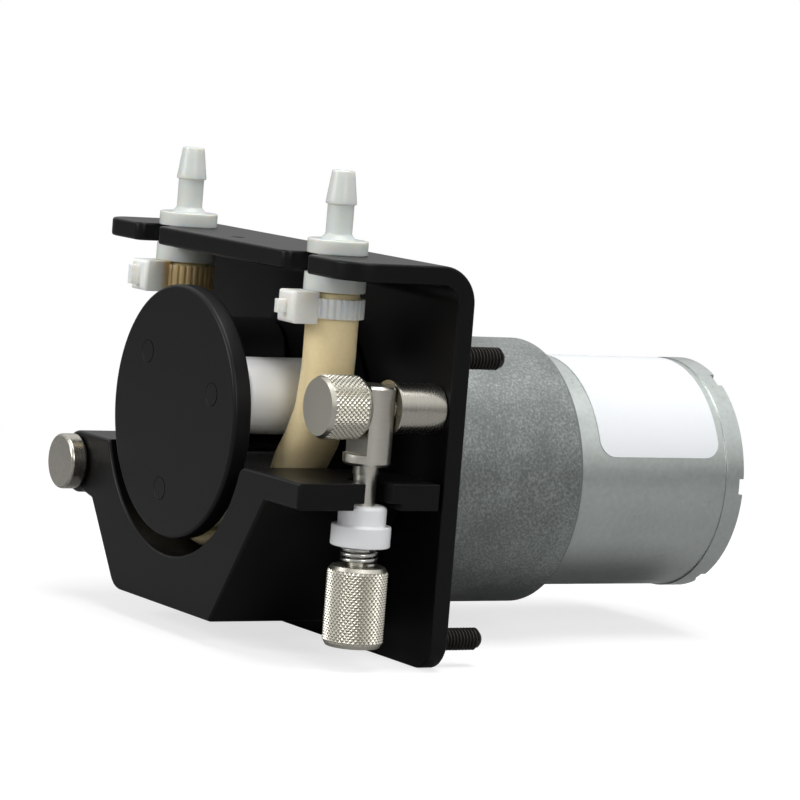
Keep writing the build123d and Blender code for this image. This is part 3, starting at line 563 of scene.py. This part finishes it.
def copy_of(node: bpy.types.Object, name: str) -> bpy.types.Object:
    """Copy a CAD node as a clean mesh of its own: merged, with flat faces joined up.

    Args:
        node: The CAD node.
        name: The new piece's name.

    Returns:
        The copy.
    """
    piece = bpy.data.objects.new(name, node.data.copy())
    bpy.context.scene.collection.objects.link(piece)
    bpy.ops.object.select_all(action="DESELECT")
    bpy.context.view_layer.objects.active = piece
    piece.select_set(True)
    bpy.ops.object.mode_set(mode="EDIT")
    bpy.ops.mesh.select_all(action="SELECT")
    bpy.ops.mesh.remove_doubles(threshold=SAME_POINT_MM * MM)
    bpy.ops.mesh.dissolve_limited(angle_limit=math.radians(FLAT_WITHIN_DEGREES))
    bpy.ops.object.mode_set(mode="OBJECT")
    return piece


@dataclass
class SoftEdged:
    """A machined or moulded part whose sharp edges are broken, as real ones are."""

    node: str
    finish: Finish
    edge: float = 0.2
    segments: int = 2
    smooth_angle: float = 32.0
    clamp: bool = True

    def build(self, frame: dict) -> bpy.types.Object:
        """Copy the CAD part and break its edges.

        Args:
            frame: The loaded CAD frame.

        Returns:
            The piece, which stands for the CAD part.
        """
        piece = copy_of(frame["nodes"][self.node], f"{self.node}_finished")
        rounding = piece.modifiers.new("broken_edges", "BEVEL")
        rounding.width = self.edge * MM
        rounding.segments = self.segments
        rounding.limit_method = "ANGLE"
        rounding.angle_limit = math.radians(BEVEL_FROM_DEGREES)
        rounding.use_clamp_overlap = self.clamp
        rounding.miter_outer = "MITER_ARC"
        apply_modifiers(piece)
        dress_piece(piece, self.finish, body_of(frame, self.node), [self.node],
                    self.smooth_angle)
        return piece


def body_of(frame: dict, node: str) -> str:
    """Find the body that a CAD node belongs to.

    Args:
        frame: The loaded CAD frame.
        node: The node's name.

    Returns:
        The body's name.
    """
    bodies = frame["record"]["behaviour"]["bodies"]
    for name, members in bodies.items():
        if node in members:
            return name
    raise KeyError(node)


@dataclass
class KnurledKnob:
    """A nickel-plated knob with a diamond knurl between two chamfered ends."""

    node: str
    axis: Axis
    centre: tuple[float, float, float]
    radius: float
    length: float
    diamonds: int
    row_height: float
    depth: float = 0.2
    chamfer: float = 0.5
    recess_radius: float = 0.0
    recess_depth: float = 0.8
    recess_lead: float = 0.2
    rim_inset: float = 0.08
    rim_outset: float = 0.02
    rim_drop: float = 0.03

    def build(self, frame: dict) -> bpy.types.Object:
        """Turn the knob and press the knurl into it.

        Args:
            frame: The loaded CAD frame.

        Returns:
            The piece, which stands for the CAD knob.
        """
        low, high = self.chamfer, self.length - self.chamfer
        rows = max(4, round((high - low) / self.row_height))
        heights = [low + (high - low) * step / rows for step in range(rows + 1)]
        root = self.radius - self.depth
        profile = self.end_steps(0.0, 1.0)
        profile += [(root, height) for height in heights]
        profile += list(reversed(self.end_steps(self.length, -1.0)))
        piece = lathe(f"{self.node}_knurled", profile, 2 * self.diamonds)
        self.press_knurl(piece, heights[1:-1])
        piece.data.transform(self.axis.placing(self.centre))
        dress_piece(piece, KNURLED, body_of(frame, self.node), [self.node], 18.0)
        return piece

    def end_steps(self, height: float, inward: float) -> Profile:
        """Give the profile of one end, from its middle out to its rim.

        Args:
            height: Where the end face is.
            inward: 1 for the low end, -1 for the high end.

        Returns:
            Radii and heights.
        """
        rim = self.radius - self.chamfer
        steps: Profile = [(AXIS_DISC_MM, height), (rim - self.rim_inset, height),
                          (rim + self.rim_outset, height + inward * self.rim_drop)]
        if self.recess_radius:
            deep = height + inward * self.recess_depth
            steps = [(AXIS_DISC_MM, deep), (self.recess_radius, deep),
                     (self.recess_radius, height + inward * self.recess_lead),
                     (self.recess_radius + self.recess_lead, height), *steps[1:]]
        return steps

    def press_knurl(self, piece: bpy.types.Object, heights: list[float]) -> None:
        """Lift every other point of the rows, so that small pyramids stand between them.

        Args:
            piece: The turned knob, still on Z.
            heights: The rows that carry the knurl.
        """
        bpy.ops.object.mode_set(mode="EDIT")
        mesh = bmesh.from_edit_mesh(piece.data)
        step = math.pi / self.diamonds
        lifted = set()
        for vertex in mesh.verts:
            row = min(range(len(heights)), key=lambda i: abs(heights[i] * MM - vertex.co.z))
            on_row = abs(heights[row] * MM - vertex.co.z) < SAME_ROW_MM * MM
            off_skin = abs(vertex.co.xy.length / MM - self.radius + self.depth)
            on_skin = off_skin < SAME_SKIN_MM
            column = round(math.atan2(vertex.co.y, vertex.co.x) / step)
            if on_row and on_skin and (row + column) % 2 == 0:
                lifted.add(vertex.index)
        select_vertices(piece, lifted)
        factor = self.radius / (self.radius - self.depth)
        bpy.ops.transform.resize(value=(factor, factor, 1), center_override=(0, 0, 0))
        bpy.ops.mesh.select_all(action="SELECT")
        bpy.ops.mesh.quads_convert_to_tris(quad_method="SHORTEST_DIAGONAL")
        bpy.ops.object.mode_set(mode="OBJECT")


@dataclass
class Thread:
    """A screw thread over a core, cut to a length, with a chamfered tip."""

    radius: float = 1.5
    pitch: float = 0.5
    depth: float = 0.3
    sides: int = 28
    tip_chamfer: float = 0.3
    flank_share: float = 0.46
    crest_share: float = 0.2
    root_sink: float = 0.03
    run_in: float = 0.35

    def build(self, name: str, length: float) -> bpy.types.Object:
        """Make the threaded length on Z, from zero up.

        Args:
            name: The piece's name.
            length: Its length in millimetres.

        Returns:
            The thread and its core as one mesh.
        """
        root = self.radius - self.depth
        core = lathe(name, [(AXIS_DISC_MM, 0.0), (root, 0.0),
                            (root, length - self.tip_chamfer),
                            (root - self.tip_chamfer, length), (AXIS_DISC_MM, length)],
                     self.sides)
        bpy.ops.object.select_all(action="DESELECT")
        bpy.ops.mesh.primitive_plane_add(size=self.pitch * MM, location=(0, 0, 0))
        ridge = bpy.context.object
        flank = self.pitch * self.flank_share * MM
        crest = flank * self.crest_share
        inner, outer = (root - self.root_sink) * MM, self.radius * MM
        corners = [(inner, -flank), (outer, -crest), (outer, crest), (inner, flank)]
        for vertex, (out, up) in zip(ridge.data.vertices, corners):
            vertex.co = (out, 0.0, up)
        bpy.ops.object.mode_set(mode="EDIT")
        bpy.ops.mesh.select_all(action="SELECT")
        bpy.ops.mesh.delete(type="ONLY_FACE")
        mesh = bmesh.from_edit_mesh(ridge.data)
        for edge in list(mesh.edges):
            mesh.edges.remove(edge)
        mesh.verts.ensure_lookup_table()
        for first, second in zip(mesh.verts[:-1], mesh.verts[1:]):
            mesh.edges.new((first, second))
        bmesh.update_edit_mesh(ridge.data)
        bpy.ops.object.mode_set(mode="OBJECT")
        winding = ridge.modifiers.new("winding", "SCREW")
        winding.steps = winding.render_steps = self.sides
        winding.screw_offset = self.pitch * MM
        winding.iterations = int((length - 2 * self.run_in) / self.pitch)
        winding.use_normal_calculate = True
        apply_modifiers(ridge)
        ridge.data.transform(Matrix.Translation((0, 0, self.run_in * MM)))
        return joined(core, [ridge])


def joined(first: bpy.types.Object, others: list[bpy.types.Object]) -> bpy.types.Object:
    """Join pieces into the first one.

    Args:
        first: The piece that stays.
        others: The pieces that go into it.

    Returns:
        The first piece.
    """
    bpy.ops.object.select_all(action="DESELECT")
    for piece in [first, *others]:
        piece.select_set(True)
    bpy.context.view_layer.objects.active = first
    bpy.ops.object.join()
    bpy.ops.object.mode_set(mode="EDIT")
    bpy.ops.mesh.select_all(action="SELECT")
    bpy.ops.mesh.normals_make_consistent(inside=False)
    bpy.ops.object.mode_set(mode="OBJECT")
    return first


@dataclass
class PanelStuds:
    """The black threaded studs that stand out of the back of the plate."""

    node: str = "panel_screws"
    half_x: float = 30.0
    half_z: float = 18.6
    reach: float = 7.5
    sink: float = 0.4

    def build(self, frame: dict) -> bpy.types.Object:
        """Thread the four studs and press them into the plate's back.

        Args:
            frame: The loaded CAD frame.

        Returns:
            The piece, which stands for the CAD studs.
        """
        studs = []
        for side in (-1, 1):
            for level in (-1, 1):
                stud = Thread().build("panel_studs_threaded", self.reach + self.sink)
                centre = (side * self.half_x, -self.sink, level * self.half_z)
                stud.data.transform(Axis.ALONG_Y.placing(centre))
                studs.append(stud)
        piece = joined(studs[0], studs[1:])
        dress_piece(piece, BLACK_OXIDE, body_of(frame, self.node), [self.node], 30.0)
        return piece


@dataclass
class SoftTube:
    """The elastic pump tube: rounded all over, with no facet left from its sections."""

    node: str = "pump_tube"
    voxel: float = 0.3
    passes: int = 6

    def build(self, frame: dict) -> bpy.types.Object:
        """Remesh the tube evenly and relax it.

        Args:
            frame: The loaded CAD frame.

        Returns:
            The piece, which stands for the CAD tube.
        """
        piece = copy_of(frame["nodes"][self.node], "pump_tube_soft")
        remesh = piece.modifiers.new("even_mesh", "REMESH")
        remesh.mode = "VOXEL"
        remesh.voxel_size = self.voxel * MM
        relax = piece.modifiers.new("relaxed", "CORRECTIVE_SMOOTH")
        relax.iterations = self.passes
        relax.use_only_smooth = True
        relax.scale = 1.0
        apply_modifiers(piece)
        dress_piece(piece, TUBING, body_of(frame, self.node), [self.node], 60.0)
        return piece


SOFT_EDGED: list[SoftEdged] = [
    SoftEdged("mounting_plate", ANODISED, 0.35, 3, clamp=False),
    SoftEdged("pressure_jaw", ANODISED, 0.16),
    SoftEdged("rotor_front_disc", DISC_BLACK, 0.2, 3), SoftEdged("rotor_body", ANODISED, 0.2),
    SoftEdged("clamp_post", NICKEL_Y, 0.25, 3), SoftEdged("pivot_pin", NICKEL_Y, 0.3, 3),
    SoftEdged("eye_bolt", NICKEL_Z, 0.18, 3), SoftEdged("spring_seat", ACETAL, 0.22, 3),
    SoftEdged("inlet_fitting", NATURAL, 0.16, 3), SoftEdged("outlet_fitting", NATURAL, 0.16, 3),
    # roller_2 is coloured near-black as painted shade for the dark it sits in.
    SoftEdged("roller_1", ACETAL, 0.25, 3), SoftEdged("roller_2", ROLLER_PAINTED_SHADE, 0.25, 3),
    SoftEdged("roller_3", ACETAL, 0.25, 3), SoftEdged("inlet_tie", TIE_CREAM, 0.06),
    SoftEdged("outlet_tie", NYLON, 0.06), SoftEdged("motor_terminals", NICKEL_Z, 0.1),
    SoftEdged("motor_end_cap", CARBON, 0.15), SoftEdged("motor_can", ZINC_CAN, 0.14),
    SoftEdged("gearbox_housing", CAST_HOUSING, 0.3, 3), SoftEdged("gearbox_cover", CAST_ZINC, 0.25),
]

KNOBS: list[KnurledKnob] = [
    KnurledKnob("thumb_screw", Axis.ALONG_Y, (30.7, -20.2, 11.9), 4.2, 6.15, 40, 0.34),
    KnurledKnob("clamp_nut", Axis.UPRIGHT, (30.7, -12.25, -19.15), 4.0, 10.5, 38, 0.34,
                recess_radius=1.6),
]


@dataclass
class Viewpoint:
    """The camera: where it looks, from how far and at which tilt."""

    azimuth: float = 58.43
    elevation: float = 5.59
    roll: float = 4.62
    distance: float = 562.0
    aim_right: float = 9.49
    aim_up: float = 1.94
    aim_height: float = 7.3
    lens: float = 185.04
    sensor: float = 36.0
    near: float = 0.01

    def build(self) -> bpy.types.Object:
        """Make the camera and set it as the scene's.

        Returns:
            The camera object.
        """
        a, e, r = (math.radians(v) for v in (self.azimuth, self.elevation, self.roll))
        back = Vector((math.sin(a) * math.cos(e), -math.cos(a) * math.cos(e), math.sin(e)))
        level = Vector((math.cos(a), math.sin(a), 0.0))
        upright = back.cross(level)
        right = math.cos(r) * level + math.sin(r) * upright
        up = -math.sin(r) * level + math.cos(r) * upright
        aim = right * self.aim_right + up * self.aim_up + Vector((0, 0, self.aim_height))
        place = (aim + back * self.distance) * MM
        data = bpy.data.cameras.new("viewpoint")
        data.lens = self.lens
        data.sensor_width = self.sensor
        data.clip_start = self.near
        camera = bpy.data.objects.new("viewpoint", data)
        turn = Matrix((right, up, back)).transposed().to_4x4()
        camera.matrix_world = Matrix.Translation(place) @ turn
        bpy.context.scene.collection.objects.link(camera)
        bpy.context.scene.camera = camera
        return camera


@dataclass
class Lamp:
    """One soft box light, aimed at the pump."""

    name: str
    place: tuple[float, float, float]
    size: float
    watts: float
    colour: tuple[float, float, float] = (1.0, 1.0, 1.0)

    def build(self, target: Vector) -> None:
        """Make the lamp.

        Args:
            target: The point it shines at, in metres.
        """
        data = bpy.data.lights.new(self.name, "AREA")
        data.shape = "SQUARE"
        data.size = self.size
        data.energy = self.watts
        data.color = self.colour
        lamp = bpy.data.objects.new(self.name, data)
        place = Vector(self.place)
        lamp.location = place
        lamp.rotation_euler = (target - place).to_track_quat("-Z", "Y").to_euler()
        bpy.context.scene.collection.objects.link(lamp)


@dataclass
class Studio:
    """Floor, white surroundings and lamps."""

    floor_size: float = 6.0
    world_light: float = 0.24
    horizon_reflection: float = 0.16
    floor_lift: float = 0.7
    shadow_reach: float = 0.1
    shadow_fade: float = 2.2
    floor_gap: float = 0.02
    floor_grey: float = 0.4
    floor_roughness: float = 0.9
    horizon_from: float = -0.05
    horizon_to: float = 0.55
    lamps: list[Lamp] = field(default_factory=lambda: [
        Lamp("soft_box_above", (0.1, 0.05, 0.6), 0.4, 2.9),
        Lamp("soft_box_front", (-0.12, -0.6, 0.28), 0.3, 2.1),
        Lamp("soft_box_side", (0.62, -0.05, 0.3), 0.26, 1.3),
    ])

    def build(self, box: tuple[Vector, Vector]) -> None:
        """Make the floor, world and lamps round the object.

        Args:
            box: Lowest and highest corner of the object.
        """
        low, high = box
        bpy.ops.object.select_all(action="DESELECT")
        bpy.ops.mesh.primitive_plane_add(size=self.floor_size,
                                         location=(0, 0, low.z - self.floor_gap * MM))
        floor = bpy.context.object
        floor.name = "studio_floor"
        bpy.ops.object.transform_apply(location=True, rotation=True, scale=True)
        floor.data.materials.append(self.floor_material())
        floor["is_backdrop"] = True
        self.world()
        for lamp in self.lamps:
            lamp.build((low + high) / 2)
        bpy.context.scene.view_settings.view_transform = "Standard"

    def floor_material(self) -> bpy.types.Material:
        """Make the pale floor, which reads as white away from the shadow.

        Returns:
            The material.
        """
        material = bpy.data.materials.new("pale_floor")
        material.use_nodes = True
        tree = material.node_tree
        shader = tree.nodes["Principled BSDF"]
        shader.inputs["Base Color"].default_value = (*[self.floor_grey] * 3, 1)
        shader.inputs["Roughness"].default_value = self.floor_roughness
        shader.inputs["Specular IOR Level"].default_value = 0.0
        shader.inputs["Emission Color"].default_value = (1, 1, 1, 1)
        path = tree.nodes.new("ShaderNodeLightPath")
        scale = tree.nodes.new("ShaderNodeMath")
        scale.operation = "MULTIPLY"
        scale.inputs[1].default_value = self.floor_lift
        tree.links.new(path.outputs["Is Camera Ray"], scale.inputs[0])
        tree.links.new(scale.outputs[0], shader.inputs["Emission Strength"])
        white = tree.nodes.new("ShaderNodeEmission")
        place = tree.nodes.new("ShaderNodeTexCoord")
        away = tree.nodes.new("ShaderNodeVectorMath")
        away.operation = "LENGTH"
        fade = tree.nodes.new("ShaderNodeMapRange")
        fade.inputs["From Min"].default_value = self.shadow_reach
        fade.inputs["From Max"].default_value = self.shadow_fade * self.shadow_reach
        seen = tree.nodes.new("ShaderNodeMath")
        seen.operation = "MULTIPLY"
        mix = tree.nodes.new("ShaderNodeMixShader")
        out = tree.nodes["Material Output"]
        tree.links.new(place.outputs["Object"], away.inputs[0])
        tree.links.new(away.outputs["Value"], fade.inputs["Value"])
        tree.links.new(fade.outputs["Result"], seen.inputs[0])
        tree.links.new(path.outputs["Is Camera Ray"], seen.inputs[1])
        tree.links.new(seen.outputs[0], mix.inputs["Fac"])
        tree.links.new(shader.outputs[0], mix.inputs[1])
        tree.links.new(white.outputs[0], mix.inputs[2])
        tree.links.new(mix.outputs[0], out.inputs["Surface"])
        return material

    def world(self) -> None:
        """Make the surroundings: white where seen, softer as a light."""
        world = bpy.data.worlds.new("white_surroundings")
        bpy.context.scene.world = world
        world.use_nodes = True
        tree = world.node_tree
        tree.nodes.clear()
        out = tree.nodes.new("ShaderNodeOutputWorld")
        path = tree.nodes.new("ShaderNodeLightPath")
        mirrored = tree.nodes.new("ShaderNodeMath")
        mirrored.operation = "MAXIMUM"
        tree.links.new(path.outputs["Is Glossy Ray"], mirrored.inputs[0])
        tree.links.new(path.outputs["Is Transmission Ray"], mirrored.inputs[1])
        sky = tree.nodes.new("ShaderNodeTexCoord")
        parts = tree.nodes.new("ShaderNodeSeparateXYZ")
        rise = tree.nodes.new("ShaderNodeMapRange")
        rise.inputs["From Min"].default_value = self.horizon_from
        rise.inputs["From Max"].default_value = self.horizon_to
        rise.inputs["To Min"].default_value = self.horizon_reflection
        rise.inputs["To Max"].default_value = 1.0
        tree.links.new(sky.outputs["Generated"], parts.inputs[0])
        tree.links.new(parts.outputs["Z"], rise.inputs["Value"])
        light, reflected, white = (tree.nodes.new("ShaderNodeBackground") for _ in range(3))
        for background in (light, reflected, white):
            background.inputs["Color"].default_value = (1, 1, 1, 1)
        light.inputs["Strength"].default_value = self.world_light
        white.inputs["Strength"].default_value = 1.0
        tree.links.new(rise.outputs["Result"], reflected.inputs["Strength"])
        shine = tree.nodes.new("ShaderNodeMixShader")
        tree.links.new(mirrored.outputs[0], shine.inputs["Fac"])
        tree.links.new(light.outputs[0], shine.inputs[1])
        tree.links.new(reflected.outputs[0], shine.inputs[2])
        mix = tree.nodes.new("ShaderNodeMixShader")
        tree.links.new(path.outputs["Is Camera Ray"], mix.inputs["Fac"])
        tree.links.new(shine.outputs[0], mix.inputs[1])
        tree.links.new(white.outputs[0], mix.inputs[2])
        tree.links.new(mix.outputs[0], out.inputs["Surface"])


def dress_carried_over(nodes: dict[str, bpy.types.Object]) -> None:
    """Give every CAD node its finish.

    Args:
        nodes: The CAD nodes by name.
    """
    for name, node in nodes.items():
        material = CARRIED_OVER[name].material()
        if not node.data.materials:
            node.data.materials.append(material)
        for slot in node.material_slots:
            slot.material = material
        LOG.info("carried over %s", name)


def main() -> None:
    """Build the pump's looks and its studio."""
    logging.basicConfig(level=logging.INFO)
    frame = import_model()
    bpy.ops.object.select_all(action="DESELECT")
    cad_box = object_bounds()
    dress_carried_over(frame["nodes"])
    for part in [*SOFT_EDGED, *KNOBS, PanelStuds(), SoftTube()]:
        part.build(frame)
    Viewpoint().build()
    Studio().build(cad_box)


if __name__ == "__main__":
    main()
